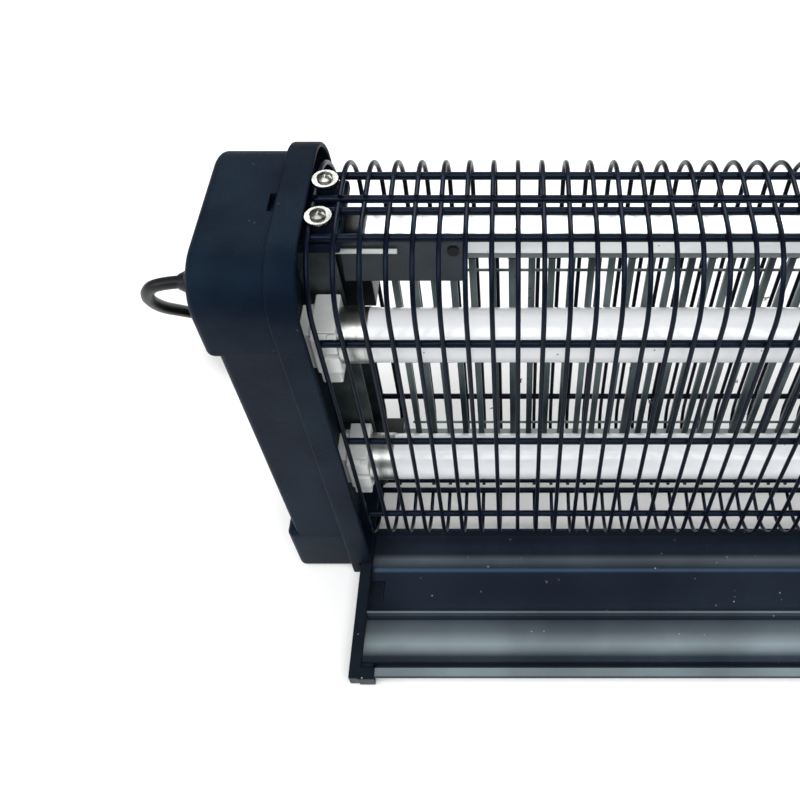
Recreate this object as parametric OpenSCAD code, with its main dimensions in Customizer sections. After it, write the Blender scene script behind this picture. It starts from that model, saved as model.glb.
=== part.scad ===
// Two-lamp electric insect killer: wire-caged grid between two moulded end housings,
// with a slide-out catch tray. Millimetres. The floor is z = 0, the long axis is X,
// the front is -Y. Sub-parts are drawn with y = 0 at the middle of the housing's depth, and
// placed() then moves them so that y = 0 is the middle of the footprint, tray pulled out.

/* [Overall] */
// Clear length between the two end frames
inner_length = 454; // [400:1:600]
// Height of the wire cage's top above the floor
cage_top = 252; // [240:1:300]
// Half of the cage's depth, to the middle of its upright wires
cage_half = 44; // [42:0.5:56]

/* [End frames and covers] */
// Thickness of an end frame along the length
frame_depth = 13; // [11:0.5:20]
// How far a cover stands out from its frame
cover_depth = 33; // [28:1:45]
// How far the frame's edge stands outside the cage's wires
frame_margin = 8; // [7:0.5:14]
// How far the frame's top stands above the cage's
top_margin = 3; // [2:0.5:8]
// Radius of the frame's two top corners
corner_radius = 26; // [20:1:34]
// How far the cover's sides lie inside the frame's edge
cover_inset = 4; // [3:0.5:6]
// Wall of the mouldings
shell_wall = 2.4; // [1.6:0.1:3.2]
// Height of the foot block at the bottom of a cover
foot_height = 44; // [42:1:60]
// Height of the box at the top of a cover
head_height = 46; // [40:1:60]
// Depth of the recess between the foot and the box
recess_depth = 5; // [2:0.5:8]

/* [Cage] */
// Diameter of the upright wires
wire_d = 2.2; // [1.8:0.1:2.8]
// Diameter of the long cross wires
cross_d = 3.5; // [3:0.1:4]
// Distance between upright wires
wire_pitch = 10.7; // [9:0.05:14]
// Radius of the cage's shoulders
cage_radius = 30; // [20:1:34]
// Height of the cage's underside above the floor
cage_bottom = 15; // [14.5:0.5:20]
// Gap between the front and rear cages at the top and bottom
cage_gap = 4.4; // [3:0.2:8]

/* [Lamps] */
// Diameter of a lamp tube
lamp_d = 26; // [20:0.5:28]
// Height of the upper lamp's axis
upper_lamp_z = 194.5; // [185:0.5:200]
// Height of the lower lamp's axis
lower_lamp_z = 91.5; // [86:0.5:100]
// Distance of the lamps' axes in front of the middle
lamp_forward = 25; // [24:0.5:27]

/* [Grid] */
// Distance between grid rods
rod_pitch = 9.15; // [8:0.05:12]
// Width of a grid rod
rod_width = 3.2; // [2:0.1:4]
// Height of the rods' lower ends
rod_bottom = 72; // [66:1:80]
// Height of the rods' upper ends
rod_top = 221; // [215:1:226]

/* [Tray] */
// Depth of the tray from front to back
tray_depth = 93; // [84:1:96]
// Height of the tray's walls
tray_height = 9; // [8:0.5:9.5]
// Distance that the tray stands out of its closed place
tray_out = 74.5; // [20:0.5:85]
// Wall of the tray section
tray_wall = 1.4; // [1.2:0.1:2]

/* [Cord] */
// Diameter of the mains cord
cord_d = 6; // [5:0.5:7]

/* [Hidden] */
$fn = 48;

gap = 0.3;
tiny = 0.01;
frame_x = inner_length / 2;
cover_x = frame_x + frame_depth;
end_x = cover_x + cover_depth;
frame_half = cage_half + frame_margin;
cover_half = frame_half - cover_inset;
frame_top = cage_top + top_margin;
cover_top = frame_top - cover_inset;
cover_floor = 1;
cover_radius = corner_radius - cover_inset;
web_x = cover_x - 4;

// Posts for the cover's four screws, and the screws' heads
post_sides = [-1, 1] * (cover_half - 14);
post_heights = [24, cover_top - 24];
post_r = 4.5;
cover_screw_length = 14;
head_r = 3.4;
head_rise = 2.4;
head_dome_r = 4.6;
slot_cut = [3.8, 0.9, 3];

// Hanging slot's distance from the joint, and the foot's grip pocket
hang_gap = 0.8;
pocket_depth = 4;
pocket_reach = 7;

// The outer wires always stand the same way in from the frames, so the step follows the length
wire_half = floor((frame_x - wire_d) / wire_pitch);
wire_count = 2 * wire_half + 1;
wire_x0 = -frame_x + 2.3;
wire_step = -wire_x0 / wire_half;
cross_in = (wire_d + cross_d) / 2 - 0.3;
cross_end = wire_x0 - 0.4;
cage_floor_y = cage_half - cage_radius;
inner_cross_y = 3.7;
outer_cross_y = cage_floor_y + 5.2;
cross_heights = [cage_top - 44, cage_top - 120.5, cage_top - 195.5];

screw_x = -wire_x0 - 3.6;
screw_y = (inner_cross_y + outer_cross_y) / 2;
screw_r = 1.8;
fit_gap = 0.05;
pilot_r = screw_r + fit_gap;
washer_r = 5.6;
washer_t = 1;
washer_z = cage_top + wire_d / 2;
lug_z = cage_top - wire_d / 2;
lug_drop = 5;
lug_reach = 14;

rod_count = 2 * floor((frame_x - 25) / rod_pitch + 0.5);
rod_x0 = -(rod_count - 1) / 2 * rod_pitch;
rod_t = 2;
rod_y = 4;
tip_width = 2;
tip_length = 5;
cap_height = 4;
bus_d = 1.4;
upper_bus_z = rod_top - 16;
lower_bus_z = rod_bottom + 8;
rail_top = rod_top + 17;
rail_height = 9;
rail_half = 8;
rail_wall = 1.5;
strip_half = 3.5;
insulator_x = frame_x - 10;
rail_x = insulator_x - 6;
bracket_half = 11;
bracket_t = 1.2;
bracket_x = frame_x - 9;
shield_t = 1.6;
shield_screw_r = 1.3;
shield_start = -frame_x + 11;
shield_length = 54;
shield_drop = 13;
shield_screw_x = shield_start + shield_length - 5;

cap_length = 13.1;
lamp_x = frame_x - 8.3;
glass_wall = 0.8;
metal_wall = 0.4;
lead_r = 1.1;
pin_r = 1.2;
pin_length = 6.5;
pin_spacing = 12.7;
holder_t = 11.4;
holder_x = lamp_x + gap;
holder_half = 13;
holder_up = 13.5;
holder_down = 23;
rotor_r = 9.2;
rotor_depth = 8;

tray_z = 3;
tray_top = tray_z + tray_height;
tray_rear = tray_depth / 2 - tray_out;
tray_cap_t = 6;
tray_cap_x = frame_x + 1;
tray_x = tray_cap_x - 0.5;
ledge_z = tray_z - gap;
slot_top = tray_top + 1;
ridge_u = 21.5;
ridge_end_u = ridge_u + 5;
rib_u = tray_depth - 39.7;
slope_u = rib_u + 4.2;
slope_end_u = tray_depth - 9.5;
tongue_u = (ridge_end_u + rib_u) / 2;
tongue_half = 0.3 * (rib_u - ridge_end_u);
rib_top = tray_height - 1;
groove_z = tray_height - 5;
slope_top = tray_height - 1.2;
lip_width = 5.7;
lip_in = lip_width - tray_wall;

// Hanging slot in the top of a cover
slot_half = 5.5;
slot_width = 3;

gland_y = -20;
gland_z = 224;
gland_r = 7;
gland_length = 12;
plug_half = 13;
plug_thick = 14;
plug_length = 35;
plug_pin_length = 19;
plug_pin_half = 9.5;
plug_pin_r = 2;

// The coil is two cords wide and three high
coil_centre = [-end_x - 57, 150];
coil_mid_r = 5.5 * cord_d;
coil_half_width = cord_d;
coil_height = 3 * cord_d;
tie_t = 0.6;
tie_width = 5;

// The cord's run from the gland's tip to the coil, with X measured from the left cover
cord_route = [
    [-12, -20, 224], [-19, -20, 223], [-26, -19, 220], [-31, -17, 213], [-33, -13, 204],
    [-32, -7, 193], [-29, 1, 182], [-25, 10, 169], [-21, 18, 154], [-18, 26, 137],
    [-16, 33, 119], [-15, 39, 100], [-14, 45, 82], [-14, 51, 64], [-14, 57, 46], [-14, 66, 30],
    [-14, 77, 16], [-14, 91, 7], [-14, 107, 3], [-15, 124, 3], [-18, 140, 3]];
cord_points = [for (p = cord_route) [p.x - end_x, p.y, p.z]];
// Half of the difference between the tray's reach to the front and the housing's to the back
tray_lip = 1.2;
stand_y = (tray_depth + tray_lip - tray_rear - frame_half) / 2;

module placed() {
    translate([0, stand_y, 0]) children();
}

// A spot that repeats at both ends of the unit
module both_ends() {
    children();
    mirror([1, 0, 0]) children();
}

// Rounded upright outline: half width, floor, top and the radius of its two top corners
module end_outline(half, floor_z, top_z, r) {
    translate([-half, floor_z]) square([2 * half, top_z - r - floor_z]);
    translate([-half + r, floor_z]) square([2 * (half - r), top_z - floor_z]);
    for (side = [-1, 1])
        translate([side * (half - r), top_z - r]) circle(r = r);
}

// The same outline as a slab that runs from x0 to x1
module end_slab(x0, x1, half, floor_z, top_z, r) {
    translate([x0, 0, 0]) rotate([90, 0, 90])
        linear_extrude(x1 - x0) end_outline(half, floor_z, top_z, r);
}

module bar_x(x0, x1, y, z, r) {
    translate([x0, y, z]) rotate([0, 90, 0]) cylinder(h = x1 - x0, r = r);
}

module block(low, high) {
    translate(low) cube(high - low);
}

// End frame at the +X end: a web, a rim, the cover's posts and the lug for the cage screws
module end_frame() {
    difference() {
        union() {
            difference() {
                end_slab(frame_x, cover_x, frame_half, 0, frame_top, corner_radius);
                end_slab(frame_x - 1, web_x, frame_half - shell_wall, slot_top + shell_wall,
                    frame_top - shell_wall, corner_radius - shell_wall);
            }
            for (y = post_sides, z = post_heights)
                bar_x(cover_x - 1, end_x - shell_wall, y, z, post_r);
            block([frame_x - lug_reach, -screw_y - 9, lug_z - lug_drop - 5],
                [web_x + 1, screw_y + 9, lug_z - lug_drop]);
            for (side = [-1, 1])
                translate([screw_x, side * screw_y, lug_z - lug_drop - 1])
                    cylinder(h = lug_drop + 1, r = 5);
        }
        // slot that the tray's end cap slides in, open at the front
        block([frame_x - 1, -frame_half - 1, ledge_z],
            [tray_cap_x + tray_cap_t + gap, frame_half - shell_wall, slot_top]);
        for (y = post_sides, z = post_heights)
            bar_x(cover_x, end_x, y, z, pilot_r);
        for (side = [-1, 1])
            translate([screw_x, side * screw_y, lug_z - 9])
                cylinder(h = 10, r = pilot_r);
        // lead hole from the cover into the cage
        bar_x(web_x - 1, cover_x + 1, 0, cage_top - 32, 4);
    }
}

module left_end_frame() { color("#1d2731") placed() mirror([1, 0, 0]) end_frame(); }
module right_end_frame() { color("#1d2731") placed() end_frame(); }

// Side view of a cover: foot, recessed middle and box, with the cut corners of the foot
module cover_side(inset) {
    low = cover_floor + inset;
    x1 = end_x - inset;
    polygon([
        [cover_x - tiny, low], [x1 - 7, low], [x1, low + 9], [x1, foot_height - inset],
        [x1 - recess_depth, foot_height + 8 - inset],
        [x1 - recess_depth, cover_top - head_height + inset],
        [x1, cover_top - head_height + inset], [x1, cover_top + 1], [cover_x - tiny, cover_top + 1]]);
}

module cover_body(inset) {
    intersection() {
        end_slab(cover_x, end_x, cover_half - inset, cover_floor + inset,
            cover_top - inset, cover_radius - inset);
        translate([0, cover_half + 1, 0]) rotate([90, 0, 0])
            linear_extrude(2 * cover_half + 2) cover_side(inset);
    }
}

module end_cover() {
    difference() {
        cover_body(0);
        translate([-tiny, 0, 0]) cover_body(shell_wall);
        for (y = post_sides, z = post_heights)
            bar_x(end_x - 3 * shell_wall, end_x + 1, y, z, screw_r + 0.2);
        // hanging slot in the top, beside the joint
        block([cover_x + hang_gap, -slot_half, cover_top - 2 * shell_wall],
            [cover_x + hang_gap + slot_width, slot_half, cover_top + 1]);
        // grip pocket above the foot, at both edges
        for (side = [-1, 1])
            block([end_x - pocket_depth, side * cover_half - pocket_reach, foot_height - 18],
                [end_x + 1, side * cover_half + pocket_reach, foot_height - 4]);
    }
    for (side = [-1, 1])
        difference() {
            block([end_x - pocket_depth - 2, side * (cover_half - 5) - 4.5, foot_height - 20],
                [end_x - pocket_depth, side * (cover_half - 5) + 4.5, foot_height - 2]);
            block([end_x - pocket_depth - 3, side * (cover_half + 5 - tiny) - 5, foot_height - 21],
                [end_x, side * (cover_half + 5 - tiny) + 5, foot_height]);
        }
}

module left_cover() {
    color("#19222c") placed() mirror([1, 0, 0]) difference() {
        end_cover();
        bar_x(end_x - 2 * shell_wall, end_x + 1, gland_y, gland_z, gland_r - 1.5);
    }
}
module right_cover() { color("#19222c") placed() end_cover(); }

// Round wire bent through a quarter circle about a line along X, starting at angle a
module wire_bend(y, z, a) {
    translate([0, y, z]) rotate([0, 90, 0]) rotate([0, 0, a])
        rotate_extrude(angle = 90) translate([cage_radius, 0]) circle(d = wire_d);
}

// One upright wire of the front cage, open at the back
module cage_wire() {
    y_end = -cage_gap / 2;
    for (z = [cage_top, cage_bottom])
        translate([0, y_end, z]) rotate([90, 0, 0])
            cylinder(h = cage_floor_y + y_end, d = wire_d);
    translate([0, -cage_half, cage_bottom + cage_radius])
        cylinder(h = cage_top - cage_bottom - 2 * cage_radius, d = wire_d);
    wire_bend(-cage_floor_y, cage_top - cage_radius, 180);
    wire_bend(-cage_floor_y, cage_bottom + cage_radius, -90);
}

module guard() {
    for (i = [0:wire_count - 1])
        translate([wire_x0 + i * wire_step, 0, 0]) cage_wire();
    for (z = [cage_top - cross_in, cage_bottom + cross_in])
        bar_x(cross_end, -cross_end, -inner_cross_y, z, cross_d / 2);
    bar_x(cross_end, -cross_end, -outer_cross_y, cage_top - cross_in - 0.45, cross_d / 2);
    for (z = cross_heights)
        bar_x(cross_end, -cross_end, -cage_half + cross_in, z, cross_d / 2);
}

module front_guard() { color("#10161f") placed() guard(); }
module rear_guard() { color("#10161f") placed() mirror([0, 1, 0]) guard(); }

// Domed head with a cross recess
module screw_head() {
    difference() {
        intersection() {
            cylinder(h = head_rise, r = head_r);
            translate([0, 0, head_rise - head_dome_r]) sphere(r = head_dome_r);
        }
        for (a = [0, 90]) rotate([0, 0, a])
            translate([-slot_cut.x / 2, -slot_cut.y / 2, head_rise / 2]) cube(slot_cut);
    }
}

module guard_screws() {
    color("#c9cbc6") placed() both_ends() for (side = [-1, 1])
        translate([screw_x, side * screw_y, 0]) {
            translate([0, 0, washer_z - 9]) cylinder(h = 9 + washer_t + 0.4, r = screw_r);
            translate([0, 0, washer_z + washer_t]) screw_head();
        }
}

module guard_washers() {
    color("#8f958f") placed() both_ends() for (side = [-1, 1])
        translate([screw_x, side * screw_y, washer_z]) difference() {
            cylinder(h = washer_t, r = washer_r);
            translate([0, 0, -1]) cylinder(h = washer_t + 2, r = screw_r + 0.1);
        }
}

// Channel with its open side down
module rail_section(top_z) {
    difference() {
        block([-rail_x, -rail_half, top_z - rail_height], [rail_x, rail_half, top_z]);
        block([-rail_x - 1, -rail_half + rail_wall, top_z - rail_height - 1],
            [rail_x + 1, rail_half - rail_wall, top_z - rail_wall]);
    }
}

module top_rail() {
    color("#d9dcdb") placed() difference() {
        rail_section(rail_top);
        shield_screw_place() cylinder(h = 4 * rail_wall, r = shield_screw_r + fit_gap, center = true);
    }
}
module bottom_rail() {
    color("#c7cbca") placed() translate([0, 0, rod_bottom - 12])
        mirror([0, 0, 1]) rail_section(0);
}

module upper_rod_strip() {
    color("#aab2b0") placed() difference() {
        block([-rail_x, rod_y - strip_half, rod_top - 3],
            [rail_x, rod_y + strip_half - 1, rail_top - rail_wall]);
        rods(0, 1, gap / 10);
    }
}

module lower_rod_strip() {
    color("#b9c0be") placed() block([-rail_x, rod_y - strip_half, rod_bottom - 12 + rail_wall],
        [rail_x, rod_y + strip_half - 1, rod_bottom]);
}

// Every step-th rod, counted from the left, with a narrow tip at its top
module rods(first, step, grow) {
    for (i = [first:step:rod_count - 1])
        translate([rod_x0 + i * rod_pitch, rod_y, 0]) {
            block([-rod_width / 2 - grow, -rod_t / 2 - grow, rod_bottom],
                [rod_width / 2 + grow, rod_t / 2 + grow, rod_top - tip_length]);
            block([-tip_width / 2 - grow, -rod_t / 2 - grow, rod_top - tip_length],
                [tip_width / 2 + grow, rod_t / 2 + grow, rod_top + grow]);
        }
}

module live_rods() { color("#7d8a8c") placed() rods(0, 2, 0); }
module earth_rods() { color("#87938f") placed() rods(1, 2, 0); }

// Insulating sleeves round the tips of the live rods
module rod_caps() {
    color("#0d0f12") placed() for (i = [0:2:rod_count - 1])
        translate([rod_x0 + i * rod_pitch, rod_y, 0]) difference() {
            block([-tip_width / 2 - 1, -rod_t / 2 - 1, rod_top - tip_length],
                [tip_width / 2 + 1, rod_t / 2 + 1, rod_top - 3]);
            block([-tip_width / 2, -rod_t / 2, rod_top - tip_length - 1],
                [tip_width / 2, rod_t / 2, rod_top]);
        }
}

module upper_bus_wire() {
    color("#8d9694") placed() bar_x(rod_x0 - 3, -rod_x0 + 3,
        rod_y + (rod_t + bus_d) / 2, upper_bus_z, bus_d / 2);
}
module lower_bus_wire() {
    color("#8d9694") placed() bar_x(rod_x0 - 3, -rod_x0 + 3,
        rod_y + (rod_t + bus_d) / 2, lower_bus_z, bus_d / 2);
}

// Upright steel channel that carries the grid and the lampholders at one end
module bracket() {
    z0 = rod_bottom - 34;
    z1 = cage_top - 18;
    block([web_x - bracket_t, -bracket_half, z0], [web_x, bracket_half, z1]);
    for (side = [-1, 1])
        block([bracket_x, side * (bracket_half - bracket_t / 2) - bracket_t / 2, z0],
            [web_x, side * (bracket_half - bracket_t / 2) + bracket_t / 2, z1]);
}

module left_bracket() { color("#6b7473") placed() mirror([1, 0, 0]) bracket(); }
module right_bracket() { color("#6b7473") placed() bracket(); }

module insulator(z0, z1, rail_z0, rail_z1) {
    difference() {
        block([insulator_x - 12, -rail_half, z0], [web_x - bracket_t, rail_half, z1]);
        block([insulator_x - 13, -rail_half - 1, rail_z0], [rail_x, rail_half + 1, rail_z1]);
    }
}

module upper_insulators() {
    color("#101318") placed() both_ends()
        insulator(rod_top - 26, rail_top + 2, rod_top - 3, rail_top);
}
module lower_insulators() {
    color("#101318") placed() both_ends()
        insulator(rod_bottom - 16, rod_bottom + 9, rod_bottom - 12, rod_bottom);
}

// Screw position on the rail's front wall, its axis towards the front
module shield_screw_place() {
    translate([shield_screw_x, -rail_half, rail_top - 5.5]) rotate([90, 0, 0]) children();
}

// Bent plate over the high-voltage joint at the left end
module terminal_shield() {
    bend_z = rail_top - rail_height;
    foot_z = bend_z - shield_drop;
    back = -rail_half;
    color("#3b4448") placed() difference() {
        translate([shield_start, 0, 0]) rotate([90, 0, 90]) linear_extrude(shield_length)
            polygon([[back, rail_top - 2], [back - shield_t, rail_top - 2], [back - shield_t, bend_z],
                [back - 4, foot_z], [back - 4 + shield_t, foot_z], [back, bend_z]]);
        shield_screw_place() cylinder(h = 20, r = shield_screw_r + fit_gap, center = true);
    }
}

module shield_screw() {
    color("#2a3134") placed() shield_screw_place() {
        translate([0, 0, -rail_wall]) cylinder(h = shield_t + rail_wall, r = shield_screw_r);
        translate([0, 0, shield_t]) cylinder(h = 1, r = 2 * shield_screw_r);
    }
}

// Insulated lead from the left bracket along the shield
module live_lead() {
    color("#e4e6e2") placed()
        bar_x(-bracket_x, shield_start + 25, -rail_half - shield_t - 1.6, rail_top - 4.5, lead_r);
}

module lamp_tube(z) {
    x = lamp_x - 1;
    difference() {
        bar_x(-x, x, -lamp_forward, z, lamp_d / 2 - metal_wall);
        bar_x(-x - 1, x + 1, -lamp_forward, z, lamp_d / 2 - metal_wall - glass_wall);
    }
}

module lamp_caps(z) {
    both_ends() difference() {
        bar_x(lamp_x - cap_length, lamp_x, -lamp_forward, z, lamp_d / 2);
        bar_x(lamp_x - cap_length - 1, lamp_x - 1, -lamp_forward, z, lamp_d / 2 - metal_wall);
    }
}

module lamp_pins(z) {
    both_ends() for (side = [-1, 1])
        bar_x(lamp_x, lamp_x + pin_length, -lamp_forward, z + side * pin_spacing / 2, pin_r);
}

// Turning inner part of a lampholder, slotted for the lamp's pins
module rotors(z) {
    both_ends() difference() {
        bar_x(holder_x + gap, holder_x + rotor_depth - gap, -lamp_forward, z, rotor_r);
        block([holder_x - 1, -lamp_forward - pin_r - gap, z - rotor_r - 1],
            [holder_x + rotor_depth - 1, -lamp_forward + pin_r + gap, z + rotor_r + 1]);
    }
}

module upper_lamp_tube() { color("#eef0f2") placed() lamp_tube(upper_lamp_z); }
module upper_lamp_caps() { color("#b9bcb8") placed() lamp_caps(upper_lamp_z); }
module upper_lamp_pins() { color("#b59a55") placed() lamp_pins(upper_lamp_z); }
module upper_rotors() { color("#f1f2f0") placed() rotors(upper_lamp_z); }
module lower_lamp_tube() { color("#eef0f2") placed() lamp_tube(lower_lamp_z); }
module lower_lamp_caps() { color("#b9bcb8") placed() lamp_caps(lower_lamp_z); }
module lower_lamp_pins() { color("#b59a55") placed() lamp_pins(lower_lamp_z); }
module lower_rotors() { color("#f1f2f0") placed() rotors(lower_lamp_z); }

// Lampholder at the +X end: a block with the rotor's bore, an entry slot at the front and a foot
module lampholder(z) {
    y0 = -lamp_forward - holder_half;
    y1 = -lamp_forward + holder_half;
    x1 = holder_x + holder_t;
    difference() {
        union() {
            block([holder_x, y0 + 3, z - 15], [x1, y1, z + holder_up]);
            block([holder_x, y0, z - 12], [x1, y1 - 2, z + 12]);
            block([holder_x + 2, y0 + 3, z - holder_down], [x1, y1 - 5, z - 14]);
            block([x1 - 1, y0 + 3, z - 12], [web_x, y1 - 5, z + 12]);
            block([x1 - 1, y1 - 1, z - 6], [web_x - bracket_t - gap, -bracket_half, z + 6]);
        }
        bar_x(holder_x - 1, holder_x + rotor_depth, -lamp_forward, z, rotor_r + 0.2);
        block([holder_x - 1, y0 - 1, z - pin_r - 0.4],
            [holder_x + rotor_depth - 1, -lamp_forward, z + pin_r + 0.4]);
        block([holder_x - 1, y0 - 1, z + 10.5], [holder_x + 4, y0 + 6, z + 12]);
    }
}

module upper_left_lampholder() { color("#f4f5f3") placed() mirror([1, 0, 0]) lampholder(upper_lamp_z); }
module upper_right_lampholder() { color("#f4f5f3") placed() lampholder(upper_lamp_z); }
module lower_left_lampholder() { color("#f4f5f3") placed() mirror([1, 0, 0]) lampholder(lower_lamp_z); }
module lower_right_lampholder() { color("#f4f5f3") placed() lampholder(lower_lamp_z); }

// Section of the tray, from its rear edge (u = 0) to its front edge, above its underside
function tray_line() = [
    [0, tray_height], [tray_wall, tray_height], [tray_wall, tray_wall + 0.6],
    [18, tray_wall + 0.8], [ridge_u - 1, tray_wall + 2.2], [ridge_u + 1, tray_wall + 2.2],
    [ridge_end_u, tray_wall], [rib_u, tray_wall], [rib_u, rib_top], [rib_u + tray_wall, rib_top],
    [rib_u + tray_wall, groove_z], [slope_u, groove_z], [slope_u, groove_z + 1],
    [slope_end_u, slope_top], [slope_end_u, tray_wall], [tray_depth - lip_width, tray_wall],
    [tray_depth - lip_width, tray_height], [tray_depth, tray_height],
    [tray_depth, tray_height - tray_wall], [tray_depth - lip_in, tray_height - 2 * tray_wall],
    [tray_depth - lip_in, 0], [0, 0]];

module tray_channel() {
    color("#141b25") placed() translate([-tray_x, tray_rear, tray_z]) rotate([90, 0, 90])
        mirror([1, 0, 0]) linear_extrude(2 * tray_x) difference() {
            polygon(tray_line());
            // hollow under the slope
            polygon([[rib_u + tray_wall, -1], [rib_u + tray_wall, groove_z - tray_wall],
                [slope_u + tray_wall, groove_z - tray_wall],
                [slope_end_u - tray_wall, slope_top - 1.3 * tray_wall], [slope_end_u - tray_wall, -1]]);
        }
}

// End cap of the tray at the +X end, with its three tongues and its corner
module tray_cap() {
    x0 = tray_cap_x - 0.5;
    front = tray_rear - tray_depth;
    block([x0, front - 0.5, tray_z], [tray_cap_x + tray_cap_t, tray_rear, tray_top + 0.5]);
    block([x0 - 8, tray_rear - tongue_u - tongue_half, tray_z + tray_wall],
        [x0 + 1, tray_rear - tongue_u + tongue_half, tray_z + tray_wall + 0.8]);
    block([x0 - 7, tray_rear - slope_end_u - 3.4, tray_z + tray_wall],
        [x0 + 1, tray_rear - slope_end_u - 0.3, tray_top - 2]);
    block([x0 - 8, front - tray_lip, tray_z], [x0 + 1, front, tray_top + 0.5]);
    block([x0 - 8, front - tray_lip, tray_top], [x0 + 1, front + lip_width, tray_top + 0.5]);
}

module tray_left_cap() { color("#1b2430") placed() mirror([1, 0, 0]) tray_cap(); }
module tray_right_cap() { color("#1b2430") placed() tray_cap(); }

module cover_screws() {
    for (y = post_sides, z = post_heights) {
        bar_x(end_x - cover_screw_length, end_x + 0.4, y, z, screw_r);
        translate([end_x, y, z]) rotate([0, 90, 0]) screw_head();
    }
}
module left_cover_screws() { color("#23282c") placed() mirror([1, 0, 0]) cover_screws(); }
module right_cover_screws() { color("#23282c") placed() cover_screws(); }

// High-voltage transformer on the left frame: laminated core and winding
module transformer() {
    z = (foot_height + cover_top - head_height) / 2;
    color("#4a4038") placed() mirror([1, 0, 0]) {
        block([cover_x, -26, z - 22], [cover_x + 16, 26, z + 22]);
        block([cover_x, -17, z - 27], [cover_x + 19, 17, z + 27]);
    }
}

// One ballast for each lamp, on the right frame
module ballasts() {
    color("#8a8f90") placed() for (z = [foot_height + 34, cover_top - head_height - 32])
        block([cover_x, -20, z - 24], [cover_x + 17, 20, z + 24]);
}

module starters() {
    color("#d8d8d2") placed() for (z = [upper_lamp_z + 24, foot_height - 20])
        translate([cover_x, 0, z]) rotate([0, 90, 0]) cylinder(h = 19, r = 8);
}

// Cable gland: flange, neck in the cover's hole and tapered sleeve
module cord_gland() {
    color("#0e1116") placed() translate([-end_x, gland_y, gland_z]) rotate([0, -90, 0])
        rotate_extrude() polygon([
            [0, -shell_wall - 2], [gland_r - 1.6, -shell_wall - 2], [gland_r - 1.6, 0],
            [gland_r, 0], [gland_r, 3.6], [gland_r - 1.6, 4.4], [gland_r - 1.6, 5.6],
            [gland_r - 1, 6.4], [gland_r - 1, 8], [gland_r - 2, 8.8],
            [cord_d / 2 + 0.5, gland_length], [0, gland_length]]);
}

function unit(v) = v / norm(v);

// Corner cutting turns the run's points into a smooth line
function smoothed(p) = concat([p[0]],
    [for (i = [0:len(p) - 2]) each [p[i] * 0.75 + p[i + 1] * 0.25, p[i] * 0.25 + p[i + 1] * 0.75]],
    [p[len(p) - 1]]);

function heading(p, i) = unit(p[min(i + 1, len(p) - 1)] - p[max(i - 1, 0)]);

// Side direction of ring i, square to the run; the run never heads along this guide
guide = [0.8, 0.3, -0.5];
function ring(p, i, r, n) =
    let (t = heading(p, i), a = unit(cross(t, guide)), b = cross(t, a))
    [for (k = [0:n - 1]) p[i] + r * (cos(360 * k / n) * a + sin(360 * k / n) * b)];

module swept_tube(p, r, n) {
    count = len(p);
    points = [for (i = [0:count - 1]) each ring(p, i, r, n)];
    sides = [for (i = [0:count - 2], k = [0:n - 1])
        [i * n + k, (i + 1) * n + k, (i + 1) * n + (k + 1) % n, i * n + (k + 1) % n]];
    ends = [[for (k = [0:n - 1]) k], [for (k = [n - 1:-1:0]) (count - 1) * n + k]];
    polyhedron(points, concat(sides, ends));
}

module power_cord() { color("#14181d") placed() swept_tube(smoothed(cord_points), cord_d / 2, 8); }

module cord_coil() {
    color("#14181d") placed() translate([coil_centre.x, coil_centre.y, 0]) rotate_extrude()
        translate([coil_mid_r - coil_half_width, 0])
            square([2 * coil_half_width, coil_height]);
}

// Strap over the coil's far side
module cord_tie() {
    color("#1a1c1e") placed() translate([coil_centre.x, coil_centre.y, 0]) {
        r0 = coil_mid_r - coil_half_width;
        r1 = coil_mid_r + coil_half_width;
        block([-tie_width / 2, r0 - tie_t, coil_height], [tie_width / 2, r1 + tie_t, coil_height + tie_t]);
        block([-tie_width / 2, r0 - tie_t - 0.4, 0.2], [tie_width / 2, r0 - 0.4, coil_height + tie_t]);
        block([-tie_width / 2, r1, 0.2], [tie_width / 2, r1 + tie_t, coil_height + tie_t]);
    }
}

// Two-pin plug that lies on the coil's front, along X
module on_plug() {
    translate([coil_centre.x - 5, coil_centre.y - coil_mid_r + cord_d / 2, coil_height]) children();
}

module plug_body() {
    color("#14181d") placed() on_plug() {
        block([8, -plug_half, 0], [plug_length, plug_half, plug_thick]);
        block([0, -plug_half + 6, 2], [9, plug_half - 6, plug_thick - 2]);
    }
}

module plug_pins() {
    color("#c8c2a8") placed() on_plug() for (side = [-1, 1])
        bar_x(plug_length, plug_length + plug_pin_length, side * plug_pin_half,
            plug_thick / 2, plug_pin_r);
}

left_end_frame();
right_end_frame();
left_cover();
right_cover();
front_guard();
rear_guard();
guard_screws();
guard_washers();
top_rail();
bottom_rail();
upper_rod_strip();
lower_rod_strip();
live_rods();
earth_rods();
rod_caps();
upper_bus_wire();
lower_bus_wire();
left_bracket();
right_bracket();
upper_insulators();
lower_insulators();
terminal_shield();
shield_screw();
live_lead();
upper_lamp_tube();
upper_lamp_caps();
upper_lamp_pins();
upper_rotors();
lower_lamp_tube();
lower_lamp_caps();
lower_lamp_pins();
lower_rotors();
upper_left_lampholder();
upper_right_lampholder();
lower_left_lampholder();
lower_right_lampholder();
tray_channel();
tray_left_cap();
tray_right_cap();
left_cover_screws();
right_cover_screws();
transformer();
ballasts();
starters();
cord_gland();
power_cord();
cord_coil();
cord_tie();
plug_body();
plug_pins();
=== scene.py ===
import math
import random

import bmesh
import bpy
from mathutils import Matrix, Vector


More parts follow.
